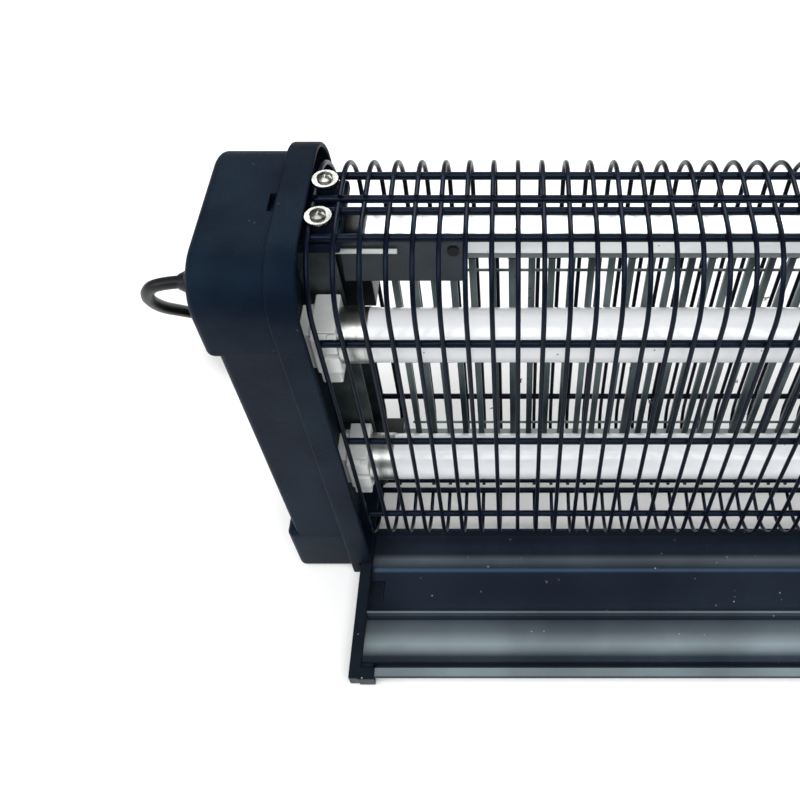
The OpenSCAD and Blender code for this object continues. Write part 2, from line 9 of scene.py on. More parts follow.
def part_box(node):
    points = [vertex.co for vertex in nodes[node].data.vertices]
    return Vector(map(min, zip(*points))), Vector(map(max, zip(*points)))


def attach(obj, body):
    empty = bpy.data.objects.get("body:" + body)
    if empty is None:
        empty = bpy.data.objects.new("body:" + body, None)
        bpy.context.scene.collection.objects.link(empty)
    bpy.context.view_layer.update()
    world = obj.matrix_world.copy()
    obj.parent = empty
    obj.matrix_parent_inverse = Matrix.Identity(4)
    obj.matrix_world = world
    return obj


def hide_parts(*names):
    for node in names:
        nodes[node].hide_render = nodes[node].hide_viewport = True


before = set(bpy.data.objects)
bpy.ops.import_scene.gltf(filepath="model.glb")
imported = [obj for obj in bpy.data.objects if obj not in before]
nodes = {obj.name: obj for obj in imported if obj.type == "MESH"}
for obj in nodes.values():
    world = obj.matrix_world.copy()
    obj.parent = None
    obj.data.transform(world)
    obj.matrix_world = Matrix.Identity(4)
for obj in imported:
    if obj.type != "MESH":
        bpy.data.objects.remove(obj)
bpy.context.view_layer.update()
rng = random.Random(7)

mm = 0.001
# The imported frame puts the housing's middle plane this far behind y = 0
standY = sum(corner[1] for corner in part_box("left_cover")) / 2


def placed(x, y, z):
    return Vector((x * mm, y * mm + standY, z * mm))


def boxMm(node):
    low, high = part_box(node)
    shift = Vector((0, standY, 0))
    return (Vector(low) - shift) / mm, (Vector(high) - shift) / mm


cameraSizes = {
    "place": (-140.0, -283.0, 499.7),
    "tilt": 35.96,
    "lens": 39.4,
    "shiftX": -0.145,
}
camera = bpy.data.objects.new("camera", bpy.data.cameras.new("camera"))
bpy.context.scene.collection.objects.link(camera)
turned = Matrix.Rotation(math.radians(cameraSizes["tilt"]), 4, "X")
camera.matrix_world = Matrix.Translation(placed(*cameraSizes["place"])) @ turned
camera.data.sensor_width = 36.0
camera.data.lens = cameraSizes["lens"]
camera.data.shift_x = cameraSizes["shiftX"]
camera.data.clip_start = 0.01
bpy.context.scene.camera = camera
print("camera placed")


def newGroup(name, inputs, outputs):
    group = bpy.data.node_groups.new(name, "ShaderNodeTree")
    for label, kind, value in inputs:
        socket = group.interface.new_socket(name=label, in_out="INPUT", socket_type=kind)
        socket.default_value = value
    for label, kind in outputs:
        group.interface.new_socket(name=label, in_out="OUTPUT", socket_type=kind)
    entry = group.nodes.new("NodeGroupInput")
    leave = group.nodes.new("NodeGroupOutput")
    return group, entry, leave


def addNode(tree, kind, links=(), **settings):
    made = tree.nodes.new(kind)
    for key, value in settings.items():
        setattr(made, key, value)
    for socket, source in links:
        if hasattr(source, "is_output"):
            tree.links.new(source, made.inputs[socket])
        else:
            made.inputs[socket].default_value = source
    return made


# Moulded or coated grain: a broad patch mask, a fine mask, specks and a bumped normal
def makeGrainGroup():
    floatKind, vectorKind = "NodeSocketFloat", "NodeSocketVector"
    group, entry, leave = newGroup(
        "surfaceGrain",
        [
            ("Grain scale", floatKind, 900.0),
            ("Grain height", floatKind, 0.2),
            ("Patch scale", floatKind, 14.0),
            ("Speck amount", floatKind, 0.0),
            ("Stretch", vectorKind, (1.0, 1.0, 1.0)),
        ],
        [
            ("Patch", floatKind),
            ("Fine", floatKind),
            ("Speck", floatKind),
            ("Normal", vectorKind),
        ],
    )
    coords = addNode(group, "ShaderNodeTexCoord").outputs["Object"]
    stretched = addNode(
        group,
        "ShaderNodeVectorMath",
        [(0, coords), (1, entry.outputs["Stretch"])],
        operation="MULTIPLY",
    ).outputs[0]
    fine = addNode(
        group,
        "ShaderNodeTexNoise",
        [("Vector", stretched), ("Scale", entry.outputs["Grain scale"]), ("Detail", 3.0)],
    ).outputs["Fac"]
    patch = addNode(
        group,
        "ShaderNodeTexNoise",
        [("Vector", stretched), ("Scale", entry.outputs["Patch scale"]), ("Detail", 5.0)],
    ).outputs["Fac"]
    patchMask = addNode(
        group,
        "ShaderNodeMapRange",
        [("Value", patch), ("From Min", 0.38), ("From Max", 0.64)],
    ).outputs["Result"]
    dots = addNode(
        group,
        "ShaderNodeTexVoronoi",
        [("Vector", coords), ("Scale", 420.0), ("Randomness", 1.0)],
    )
    dotMask = addNode(
        group,
        "ShaderNodeMapRange",
        [("Value", dots.outputs["Distance"]), ("From Min", 0.22), ("From Max", 0.14)],
    ).outputs["Result"]
    chance = addNode(group, "ShaderNodeSeparateColor", [("Color", dots.outputs["Color"])])
    chosen = addNode(
        group,
        "ShaderNodeMath",
        [(0, chance.outputs[0]), (1, entry.outputs["Speck amount"])],
        operation="LESS_THAN",
    ).outputs[0]
    specks = addNode(
        group, "ShaderNodeMath", [(0, dotMask), (1, chosen)], operation="MULTIPLY"
    ).outputs[0]
    bump = addNode(
        group,
        "ShaderNodeBump",
        [("Height", fine), ("Strength", entry.outputs["Grain height"]), ("Distance", 0.0004)],
    ).outputs["Normal"]
    for label, source in (("Patch", patchMask), ("Fine", fine), ("Speck", specks), ("Normal", bump)):
        group.links.new(source, leave.inputs[label])
    return group


grainGroup = makeGrainGroup()


# One grained Principled material; colours and roughness run between two values over the patches
def makeMaterial(
    name,
    dark,
    light,
    rough=(0.4, 0.55),
    metallic=0.0,
    scale=900.0,
    height=0.2,
    patch=14.0,
    speck=0.0,
    speckColour=(0.5, 0.5, 0.47),
    stretch=(1.0, 1.0, 1.0),
    coat=0.0,
    specular=0.22,
    specularTint=(1.0, 1.0, 1.0),
):
    material = bpy.data.materials.new(name)
    material.use_nodes = True
    tree = material.node_tree
    shader = tree.nodes["Principled BSDF"]
    grain = addNode(
        tree,
        "ShaderNodeGroup",
        node_tree=grainGroup,
    )
    for label, value in (
        ("Grain scale", scale),
        ("Grain height", height),
        ("Patch scale", patch),
        ("Speck amount", speck),
        ("Stretch", stretch),
    ):
        grain.inputs[label].default_value = value
    tint = addNode(
        tree,
        "ShaderNodeMix",
        [("Factor", grain.outputs["Patch"])],
        data_type="RGBA",
    )
    tint.inputs[6].default_value = (*dark, 1.0)
    tint.inputs[7].default_value = (*light, 1.0)
    dusted = addNode(
        tree,
        "ShaderNodeMix",
        [("Factor", grain.outputs["Speck"])],
        data_type="RGBA",
    )
    tree.links.new(tint.outputs[2], dusted.inputs[6])
    dusted.inputs[7].default_value = (*speckColour, 1.0)
    roughness = addNode(
        tree,
        "ShaderNodeMapRange",
        [("Value", grain.outputs["Fine"]), ("To Min", rough[0]), ("To Max", rough[1])],
    )
    tree.links.new(dusted.outputs[2], shader.inputs["Base Color"])
    tree.links.new(roughness.outputs["Result"], shader.inputs["Roughness"])
    tree.links.new(grain.outputs["Normal"], shader.inputs["Normal"])
    shader.inputs["Metallic"].default_value = metallic
    shader.inputs["Coat Weight"].default_value = coat
    shader.inputs["Coat Roughness"].default_value = 0.12
    shader.inputs["Specular IOR Level"].default_value = specular
    shader.inputs["Specular Tint"].default_value = (*specularTint, 1.0)
    return material


materials = {
    "housing": makeMaterial(
        "housing", (0.0028, 0.0052, 0.0115), (0.0064, 0.0125, 0.0215), (0.4, 0.56),
        scale=1500.0, height=0.55, patch=22.0, speck=0.012, speckColour=(0.03, 0.05, 0.06),
        specular=0.07, specularTint=(0.3, 0.62, 1.0),
    ),
    "guardWire": makeMaterial(
        "guardWire", (0.0016, 0.0024, 0.0065), (0.0032, 0.0056, 0.012), (0.24, 0.38),
        scale=500.0, height=0.12, patch=60.0, specular=0.14, specularTint=(0.45, 0.65, 1.0),
    ),
    "nickel": makeMaterial(
        "nickel", (0.16, 0.16, 0.15), (0.3, 0.3, 0.28), (0.2, 0.36), metallic=1.0,
        scale=1200.0, height=0.1, patch=160.0,
    ),
    "blackScrew": makeMaterial(
        "blackScrew", (0.015, 0.016, 0.018), (0.03, 0.032, 0.035), (0.25, 0.4), metallic=0.7,
    ),
    "rail": makeMaterial(
        "rail", (0.6, 0.63, 0.64), (0.86, 0.88, 0.88), (0.2, 0.42), metallic=0.75,
        scale=60.0, height=0.12, patch=30.0, stretch=(0.25, 3.0, 1.0),
        speck=0.02, speckColour=(0.08, 0.07, 0.06),
    ),
    "strip": makeMaterial(
        "strip", (0.2, 0.23, 0.235), (0.32, 0.35, 0.35), (0.4, 0.6), patch=18.0,
        speck=0.03, speckColour=(0.1, 0.09, 0.08),
    ),
    "rodSteel": makeMaterial(
        "rodSteel", (0.055, 0.075, 0.08), (0.16, 0.2, 0.205), (0.28, 0.5), metallic=0.85,
        scale=700.0, height=0.25, patch=70.0, stretch=(1.0, 1.0, 0.2),
        speck=0.05, speckColour=(0.03, 0.025, 0.02),
    ),
    "bracketSteel": makeMaterial(
        "bracketSteel", (0.045, 0.06, 0.062), (0.11, 0.13, 0.135), (0.35, 0.55), metallic=0.8,
        scale=300.0, height=0.15, patch=45.0,
    ),
    "shield": makeMaterial(
        "shield", (0.022, 0.029, 0.035), (0.045, 0.056, 0.064), (0.3, 0.45), patch=25.0,
        height=0.12, speck=0.01,
    ),
    "blackPlastic": makeMaterial(
        "blackPlastic", (0.003, 0.004, 0.005), (0.007, 0.008, 0.01), (0.25, 0.4), height=0.1,
    ),
    "lead": makeMaterial(
        "lead", (0.66, 0.69, 0.68), (0.82, 0.84, 0.82), (0.25, 0.4), height=0.08,
    ),
    "lampGlass": makeMaterial(
        "lampGlass", (0.83, 0.85, 0.88), (0.9, 0.915, 0.93), (0.09, 0.16), height=0.03,
        patch=8.0, coat=0.6, speck=0.004, speckColour=(0.2, 0.19, 0.17),
    ),
    "lampCap": makeMaterial(
        "lampCap", (0.36, 0.38, 0.37), (0.56, 0.57, 0.54), (0.24, 0.42), metallic=1.0,
        scale=260.0, height=0.2, patch=50.0, stretch=(6.0, 1.0, 1.0),
    ),
    "brass": makeMaterial(
        "brass", (0.45, 0.33, 0.13), (0.62, 0.48, 0.22), (0.22, 0.4), metallic=1.0,
    ),
    "holder": makeMaterial(
        "holder", (0.7, 0.73, 0.72), (0.86, 0.88, 0.86), (0.25, 0.4), height=0.08,
        patch=40.0, speck=0.01, speckColour=(0.2, 0.18, 0.15),
    ),
    "tray": makeMaterial(
        "tray", (0.0028, 0.0038, 0.01), (0.005, 0.0078, 0.0165), (0.2, 0.3),
        scale=260.0, height=0.015, patch=12.0, speck=0.012, speckColour=(0.3, 0.32, 0.31),
        specular=0.3, specularTint=(0.35, 0.6, 1.0),
    ),
    "trayCap": makeMaterial(
        "trayCap", (0.004, 0.006, 0.01), (0.009, 0.013, 0.018), (0.3, 0.45), height=0.3,
        speck=0.008, speckColour=(0.3, 0.31, 0.3), specular=0.15,
        specularTint=(0.35, 0.65, 1.0),
    ),
    "innerPart": makeMaterial("innerPart", (0.1, 0.09, 0.08), (0.2, 0.19, 0.17)),
    "rubber": makeMaterial(
        "rubber", (0.0025, 0.003, 0.004), (0.007, 0.0075, 0.009), (0.3, 0.46), height=0.15,
        patch=35.0,
    ),
    "insect": makeMaterial(
        "insect", (0.03, 0.02, 0.012), (0.11, 0.075, 0.045), (0.5, 0.7), height=0.4,
        patch=300.0,
    ),
    "wing": makeMaterial(
        "wing", (0.1, 0.09, 0.08), (0.19, 0.18, 0.16), (0.35, 0.5), height=0.1, patch=250.0,
    ),
}

# Share of the painted highlight on the tray, by depth in mm from its rear edge: pale bands painted where
# the ridge, rib top, slope and lip catch light
paintedHighlightStops = [
    (0.0, 0.02), (14.0, 0.02), (18.5, 0.24), (22.0, 0.1), (24.0, 0.02), (53.2, 0.02),
    (53.4, 0.35), (54.6, 0.35), (54.8, 0.02), (57.4, 0.02), (57.6, 0.1), (65.0, 0.26),
    (73.0, 0.72), (76.5, 0.5), (80.5, 0.06), (87.2, 0.02), (87.5, 0.52), (92.0, 0.52),
    (92.8, 0.03),
]


# Lays a painted highlight over the tray's colour: pale bands by depth, made uneven by the grain's patches
def addPaintedHighlight(material, colour, fullDepth):
    tree = material.node_tree
    shader = tree.nodes["Principled BSDF"]
    plain = shader.inputs["Base Color"].links[0].from_socket
    grain = next(n for n in tree.nodes if n.type == "GROUP")
    depth = addNode(tree, "ShaderNodeAttribute", attribute_name="depth")
    highlightRamp = addNode(tree, "ShaderNodeValToRGB", [("Fac", depth.outputs["Fac"])])
    stops = highlightRamp.color_ramp.elements
    while len(stops) < len(paintedHighlightStops):
        stops.new(1.0)
    for stop, (place, amount) in zip(stops, paintedHighlightStops):
        stop.position = place / fullDepth
        stop.color = (amount, amount, amount, 1.0)
    uneven = addNode(
        tree, "ShaderNodeMapRange", [("Value", grain.outputs["Patch"]), ("To Min", 0.7), ("To Max", 1.1)]
    )
    amount = addNode(
        tree,
        "ShaderNodeMath",
        [(0, highlightRamp.outputs["Color"]), (1, uneven.outputs["Result"])],
        operation="MULTIPLY",
    )
    mixed = addNode(tree, "ShaderNodeMix", [("Factor", amount.outputs[0])], data_type="RGBA")
    tree.links.new(plain, mixed.inputs[6])
    mixed.inputs[7].default_value = (*colour, 1.0)
    tree.links.new(mixed.outputs[2], shader.inputs["Base Color"])


trayBox = boxMm("tray_channel")
# The painted highlight's pale colour, spread over the tray's full depth
addPaintedHighlight(materials["tray"], (0.36, 0.44, 0.47), trayBox[1].y - trayBox[0].y)

cadLooks = {
    "housing": ["left_end_frame", "right_end_frame", "left_cover", "right_cover"],
    "guardWire": ["front_guard", "rear_guard"],
    "nickel": ["guard_screws", "guard_washers"],
    "blackScrew": ["shield_screw", "left_cover_screws", "right_cover_screws"],
    "rail": ["top_rail", "bottom_rail"],
    "strip": ["upper_rod_strip", "lower_rod_strip"],
    "rodSteel": ["live_rods", "earth_rods", "upper_bus_wire", "lower_bus_wire"],
    "bracketSteel": ["left_bracket", "right_bracket"],
    "shield": ["terminal_shield"],
    "blackPlastic": ["rod_caps", "upper_insulators", "lower_insulators"],
    "lead": ["live_lead"],
    "lampGlass": ["upper_lamp_tube", "lower_lamp_tube"],
    "lampCap": ["upper_lamp_caps", "lower_lamp_caps"],
    "brass": ["upper_lamp_pins", "lower_lamp_pins", "plug_pins"],
    "holder": [
        "upper_left_lampholder", "upper_right_lampholder", "lower_left_lampholder",
        "lower_right_lampholder", "upper_rotors", "lower_rotors",
    ],
    "tray": ["tray_channel"],
    "trayCap": ["tray_left_cap", "tray_right_cap"],
    "innerPart": ["transformer", "ballasts", "starters"],
    "rubber": ["cord_gland", "cord_tie", "plug_body"],
}

for look, names in cadLooks.items():
    for name in names:
        for slot in nodes[name].material_slots:
            slot.material = materials[look]
print("materials on CAD nodes")


def meshObject(name, verts, faces, material, body, smooth=35.0):
    mesh = bpy.data.meshes.new(name)
    mesh.from_pydata([tuple(v) for v in verts], [], faces)
    shape = bmesh.new()
    shape.from_mesh(mesh)
    bmesh.ops.remove_doubles(shape, verts=shape.verts, dist=1e-7)
    bmesh.ops.recalc_face_normals(shape, faces=shape.faces)
    shape.to_mesh(mesh)
    shape.free()
    mesh.shade_smooth()
    mesh.set_sharp_from_angle(angle=math.radians(smooth))
    mesh.materials.append(material)
    made = bpy.data.objects.new(name, mesh)
    bpy.context.scene.collection.objects.link(made)
    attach(made, body)
    return made


# A copy of a CAD node's mesh with its flat faces joined and its long sharp edges rounded.
def softened(node, look, body, width, segments=3, shortest=1.2):
    shape = bmesh.new()
    shape.from_mesh(nodes[node].data)
    bmesh.ops.remove_doubles(shape, verts=shape.verts, dist=2e-6)
    bmesh.ops.dissolve_limit(
        shape, angle_limit=math.radians(0.6), verts=shape.verts, edges=shape.edges
    )
    weights = shape.edges.layers.float.new("bevel_weight_edge")
    for edge in shape.edges:
        sharp = len(edge.link_faces) == 2 and edge.calc_face_angle(0.0) > math.radians(35)
        if not sharp or edge.calc_length() < shortest * mm:
            continue
        edge[weights] = 1.0
    mesh = bpy.data.meshes.new(node + "_soft")
    shape.to_mesh(mesh)
    shape.free()
    mesh.shade_smooth()
    mesh.set_sharp_from_angle(angle=math.radians(32))
    mesh.materials.append(materials[look])
    made = bpy.data.objects.new(node + "_soft", mesh)
    bpy.context.scene.collection.objects.link(made)
    bevel = made.modifiers.new("edges", "BEVEL")
    bevel.limit_method = "WEIGHT"
    bevel.width = width * mm
    bevel.segments = segments
    bevel.use_clamp_overlap = False
    bevel.harden_normals = True
    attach(made, body)
    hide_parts(node)
    return made


# The coil's line starts at an angle, keeps to each of its lanes and then moves to the next one
cordSizes = {
    "diameter": 5.8,
    "length": 1500.0,
    "layer": 6.0,
    "outer": 36.0,
    "inner": 30.0,
    "startAngle": 12.0,
    "totalAngle": 2048.0,
    "angleStep": 8.0,
    "laneAngle": 270.0,
    "changeAngle": 90.0,
    "liftAngles": (1710.0, 1800.0),
    "tailAngles": (1900.0, 2048.0),
    "tailLift": 4.0,
}
cordPoints = [
    (-285, -20, 224), (-292, -20, 223), (-299, -19, 220), (-304, -17, 213),
    (-306, -13, 204), (-305, -7, 193), (-302, 1, 182), (-298, 10, 169),
    (-294, 18, 154), (-291, 26, 137), (-289, 33, 119), (-288, 39, 100),
    (-287, 45, 82), (-287, 51, 64), (-287, 57, 46), (-287, 66, 30),
    (-287, 77, 16), (-287, 91, 7), (-287, 107, 3), (-288, 124, 3), (-291, 140, 3),
]
coilCentre = (-330.0, 150.0)


def cutCorners(points):
    result = [points[0]]
    for first, second in zip(points, points[1:]):
        result.append(first.lerp(second, 0.25))
        result.append(first.lerp(second, 0.75))
    result.append(points[-1])
    return result


def easeBetween(value, start, end):
    t = min(max((value - start) / (end - start), 0.0), 1.0)
    return t * t * (3 - 2 * t)


# Radius and height of the coil's line after it has turned through an angle
def coilPlace(angle):
    outer, inner, layer = cordSizes["outer"], cordSizes["inner"], cordSizes["layer"]
    stages = [
        (outer, 0), (inner, 0), (inner, 1), (outer, 1), (outer, 2), (inner, 2),
    ]
    radius, level = stages[0]
    for count, (nextRadius, nextLevel) in enumerate(stages[1:], start=1):
        change = cordSizes["laneAngle"] * count
        share = easeBetween(angle, change, change + cordSizes["changeAngle"])
        radius += (nextRadius - stages[count - 1][0]) * share
        level += (nextLevel - stages[count - 1][1]) * share
    height = layer * (level + 0.5)
    height += layer * easeBetween(angle, *cordSizes["liftAngles"])
    height += cordSizes["tailLift"] * easeBetween(angle, *cordSizes["tailAngles"])
    return radius, height


def coilPoints():
    result = []
    step = cordSizes["angleStep"]
    for count in range(int(cordSizes["totalAngle"] / step) + 1):
        angle = count * step
        radius, height = coilPlace(angle)
        around = math.radians(cordSizes["startAngle"] + angle)
        result.append(
            placed(
                coilCentre[0] + radius * math.cos(around),
                coilCentre[1] + radius * math.sin(around),
                height,
            )
        )
    return result


def makeCord(plug):
    run = [placed(*point) for point in cordPoints]
    coil = coilPoints()
    smoothRun = cutCorners(cutCorners(run + coil[:1]))[:-1]
    plugLow, plugHigh = boxMm("plug_body")
    plugMiddle = (plugLow + plugHigh) / 2
    tail = placed(plugLow.x, plugMiddle.y, plugMiddle.z)
    line = smoothRun + coil + [tail]
    curve = bpy.data.curves.new("mains_cord", "CURVE")
    curve.dimensions = "3D"
    curve.bevel_depth = cordSizes["diameter"] / 2 * mm
    curve.bevel_resolution = 3
    curve.use_fill_caps = True
    spline = curve.splines.new("POLY")
    spline.points.add(len(line) - 1)
    for point, place in zip(spline.points, line):
        point.co = (*place, 1.0)
    spline.use_smooth = True
    curve.materials.append(materials["rubber"])
    cord = bpy.data.objects.new("mains_cord", curve)
    bpy.context.scene.collection.objects.link(cord)
    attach(cord, "unit")
    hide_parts("power_cord", "cord_coil")
    return cord


makeCord(softened("plug_body", "rubber", "unit", 2.0, segments=4))
print("cord made")


coverSizes = {
    "topRound": 22.0,
    "edge": 4.0,
    "recess": 5.0,
    "footTop": 44.0,
    "boxFloor": 205.0,
    "slotStart": 1.0,
    "slotHalf": 5.5,
    "slotWidth": 3.0,
    "slotDepth": 4.0,
    "pocketTop": 40.0,
    "pocketFloor": 26.0,
    "pocketDepth": 3.0,
    "jointGap": 0.02,
    "carveRun": 1.0,
}


# Points of an upright rounded rectangle in y and z, from four corner radii, all moved in by inset
def roundedOutline(half, low, high, topRadius, lowRadius, inset, steps=10):
    result = []
    corners = [
        (half, low, lowRadius, -90), (half, high, topRadius, 0),
        (-half, high, topRadius, 90), (-half, low, lowRadius, 180),
    ]
    for y, z, radius, start in corners:
        middleY = y - math.copysign(radius, y)
        middleZ = z - radius if z == high else z + radius
        left = max(radius - inset, 0.3)
        slide = inset - (radius - left)
        middleY -= math.copysign(slide, y)
        middleZ += -slide if z == high else slide
        for count in range(steps + 1):
            angle = math.radians(start + 90 * count / steps)
            result.append((middleY + left * math.cos(angle), middleZ + left * math.sin(angle)))
    return result


# A block along X whose outer face has a rounded rim
def rimmedBlock(name, x0, x1, half, low, high, topRadius, lowRadius, edge, steps=6):
    sign = 1 if x1 > x0 else -1
    rings = [(x0, 0.0)]
    for count in range(steps + 1):
        angle = math.radians(90 * count / steps)
        rings.append((x1 - sign * edge * (1 - math.sin(angle)), edge * (1 - math.cos(angle))))
    verts = []
    for x, inset in rings:
        for y, z in roundedOutline(half, low, high, topRadius, lowRadius, inset):
            verts.append(placed(x, y, z))
    count = len(verts) // len(rings)
    faces = []
    for ring in range(len(rings) - 1):
        for k in range(count):
            after = (k + 1) % count
            faces.append((
                ring * count + k, ring * count + after,
                (ring + 1) * count + after, (ring + 1) * count + k,
            ))
    faces.append(tuple(range(count)))
    faces.append(tuple(range((len(rings) - 1) * count, len(rings) * count)))
    return meshObject(name, verts, faces, materials["housing"], "unit")


def boxMesh(name, low, high):
    verts = [
        placed(x, y, z)
        for x in (low[0], high[0])
        for y in (low[1], high[1])
        for z in (low[2], high[2])
    ]
    faces = [(0, 1, 3, 2), (4, 6, 7, 5), (0, 4, 5, 1), (2, 3, 7, 6), (0, 2, 6, 4), (1, 5, 7, 3)]
    return meshObject(name, verts, faces, materials["housing"], "unit")


# Joins parts to the first one and cuts the cutters out of it; the helpers are then removed
def carve(base, parts, cutters):
    for helper, kind in [(o, "UNION") for o in parts] + [(o, "DIFFERENCE") for o in cutters]:
        change = base.modifiers.new("carve", "BOOLEAN")
        change.operation = kind
        change.solver = "EXACT"
        change.object = helper
        depsgraph = bpy.context.evaluated_depsgraph_get()
        result = bpy.data.meshes.new_from_object(base.evaluated_get(depsgraph))
        base.modifiers.remove(change)
        base.data = result
        bpy.data.objects.remove(helper)
    base.data.shade_smooth()
    base.data.set_sharp_from_angle(angle=math.radians(32))
    return base


def makeCover(side):
    sign = -1 if side == "left" else 1
    low, high = boxMm(side + "_cover")
    frameX = sign * min(abs(low.x), abs(high.x))
    endX = sign * max(abs(low.x), abs(high.x))
    half, top, floorZ = high.y, high.z, low.z
    edge, recess = coverSizes["edge"], coverSizes["recess"]
    joint = frameX + sign * coverSizes["jointGap"]
    base = rimmedBlock(
        side + "_cover_shell", joint, endX, half, coverSizes["boxFloor"], top,
        coverSizes["topRound"], edge, edge,
    )
    middle = rimmedBlock(
        "middle", joint, endX - sign * recess, half - 0.05,
        coverSizes["footTop"] - 12, coverSizes["boxFloor"] + 14, 1.0, 1.0, edge,
    )
    foot = rimmedBlock(
        "foot", joint, endX, half, floorZ, coverSizes["footTop"], edge, edge, edge,
    )
    start, slotHalf, past = coverSizes["slotStart"], coverSizes["slotHalf"], coverSizes["carveRun"]
    slotX = sorted((frameX + sign * start, frameX + sign * (start + coverSizes["slotWidth"])))
    slot = boxMesh(
        "slot",
        (slotX[0], -slotHalf, top - coverSizes["slotDepth"]),
        (slotX[1], slotHalf, top + past),
    )
    cutters = [slot]
    for y in (-half, half):
        pocketX = sorted((endX - sign * coverSizes["pocketDepth"], endX + sign * past))
        cutters.append(
            boxMesh(
                "pocket",
                (pocketX[0], min(y, y * 0.9), coverSizes["pocketFloor"]),
                (pocketX[1], max(y, y * 1.02), coverSizes["pocketTop"]),
            )
        )
    cover = carve(base, [middle, foot], cutters)
    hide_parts(side + "_cover")
    return cover


traySizes = {
    "wall": 1.4,
    "ridge": 21.5,
    "ridgeHeight": 2.7,
    "floor": 26.5,
    "rib": 53.3,
    "ribWidth": 1.4,
    "slope": 57.5,
    "slopeEnd": 83.5,
    "slopeTop": 7.8,
    "grooveZ": 4.0,
    "lip": 5.7,
}


# Tray section from its rear edge, in depth and height, with rounded bends
def trayLine(depth, height):
    size = traySizes
    wall = size["wall"]
    upper = [(0.0, height), (wall, height), (wall, wall + 0.9), (16.0, wall + 0.7)]
    for count in range(9):
        angle = math.pi * count / 8
        upper.append((
            size["ridge"] - 3.2 * math.cos(angle),
            wall + 0.6 + (size["ridgeHeight"] - wall - 0.6) * math.sin(angle) ** 1.5,
        ))
    upper += [(size["floor"], wall), (size["rib"] - 7.0, wall), (size["rib"] - 5.0, wall + 0.3)]
    upper += [(size["rib"], wall + 0.5), (size["rib"], height - 1.2), (size["rib"] + 0.2, height - 1.0)]
    ribEnd = size["rib"] + size["ribWidth"]
    upper += [(ribEnd - 0.2, height - 1.0), (ribEnd, height - 1.2), (ribEnd, size["grooveZ"])]
    upper += [(size["slope"], size["grooveZ"]), (size["slope"], size["grooveZ"] + 0.8)]
    upper.append((size["slope"] + 0.5, size["grooveZ"] + 1.2))
    run = size["slopeEnd"] - size["slope"] - 0.5
    rise = size["slopeTop"] - size["grooveZ"] - 1.2
    for count in range(1, 11):
        share = count / 10
        upper.append((size["slope"] + 0.5 + run * share, size["grooveZ"] + 1.2 + rise * share ** 1.35))
    upper += [(size["slopeEnd"] + 0.3, size["slopeTop"] - 0.4), (size["slopeEnd"] + 0.3, wall)]
    front = depth - size["lip"]
    upper += [(front, wall), (front, height - 0.3), (front + 0.3, height)]
    upper += [(depth - 0.5, height), (depth, height - 0.5), (depth, height - wall)]
    inner = depth - size["lip"] + wall
    upper += [(inner, height - 2 * wall), (inner, 0.0), (0.0, 0.0)]
    return upper


def makeTray():
    low, high = boxMm("tray_channel")
    line = trayLine(high.y - low.y, high.z - low.z)
    verts = []
    for x in (low.x, high.x):
        verts += [placed(x, high.y - u, low.z + z) for u, z in line]
    count = len(line)
    faces = [(k, (k + 1) % count, count + (k + 1) % count, count + k) for k in range(count)]
    faces += [tuple(range(count)), tuple(range(count, 2 * count))]
    tray = meshObject("tray_pan", verts, faces, materials["tray"], "tray", smooth=28.0)
    # Depth share from the rear edge, which places the painted highlight bands
    depths = tray.data.attributes.new("depth", "FLOAT", "POINT")
    for index, vertex in enumerate(tray.data.vertices):
        depths.data[index].value = (high.y - (vertex.co.y - standY) / mm) / (high.y - low.y)
    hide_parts("tray_channel")
    return tray


# Geometry nodes that put a copy of a template on every point, turned and sized by attributes
def makeScatterGroup():
    group = bpy.data.node_groups.new("scatterCopies", "GeometryNodeTree")
    face = group.interface
    face.new_socket(name="Geometry", in_out="INPUT", socket_type="NodeSocketGeometry")
    template = face.new_socket(name="Template", in_out="INPUT", socket_type="NodeSocketObject")
    finish = face.new_socket(name="Material", in_out="INPUT", socket_type="NodeSocketMaterial")
    face.new_socket(name="Geometry", in_out="OUTPUT", socket_type="NodeSocketGeometry")
    entry = group.nodes.new("NodeGroupInput")
    leave = group.nodes.new("NodeGroupOutput")
    info = addNode(group, "GeometryNodeObjectInfo", [("Object", entry.outputs["Template"])])
    turn = addNode(group, "GeometryNodeInputNamedAttribute", [("Name", "turn")], data_type="FLOAT_VECTOR")
    size = addNode(group, "GeometryNodeInputNamedAttribute", [("Name", "size")], data_type="FLOAT")
    copies = addNode(
        group,
        "GeometryNodeInstanceOnPoints",
        [
            ("Points", entry.outputs["Geometry"]),
            ("Instance", info.outputs["Geometry"]),
            ("Rotation", turn.outputs["Attribute"]),
            ("Scale", size.outputs["Attribute"]),
        ],
    )
    real = addNode(group, "GeometryNodeRealizeInstances", [("Geometry", copies.outputs[0])])
    finished = addNode(
        group,
        "GeometryNodeSetMaterial",
        [("Geometry", real.outputs[0]), ("Material", entry.outputs["Material"])],
    )
    group.links.new(finished.outputs[0], leave.inputs[0])
    return group, template.identifier, finish.identifier


scatterGroup, templateSocket, materialSocket = makeScatterGroup()


# places holds (point, turn, size) for each copy
def scatter(name, template, material, body, places):
    mesh = bpy.data.meshes.new(name)
    mesh.from_pydata([tuple(place) for place, _, _ in places], [], [])
    mesh.attributes.new("turn", "FLOAT_VECTOR", "POINT")
    mesh.attributes.new("size", "FLOAT", "POINT")
    for index, (_, angles, scale) in enumerate(places):
        mesh.attributes["turn"].data[index].vector = angles
        mesh.attributes["size"].data[index].value = scale
    made = bpy.data.objects.new(name, mesh)
    bpy.context.scene.collection.objects.link(made)
    change = made.modifiers.new("copies", "NODES")
    change.node_group = scatterGroup
    change[templateSocket] = template
    change[materialSocket] = material
    depsgraph = bpy.context.evaluated_depsgraph_get()
    result = bpy.data.meshes.new_from_object(made.evaluated_get(depsgraph))
    made.modifiers.remove(change)
    made.data = result
    made.data.shade_smooth()
    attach(made, body)
    return made


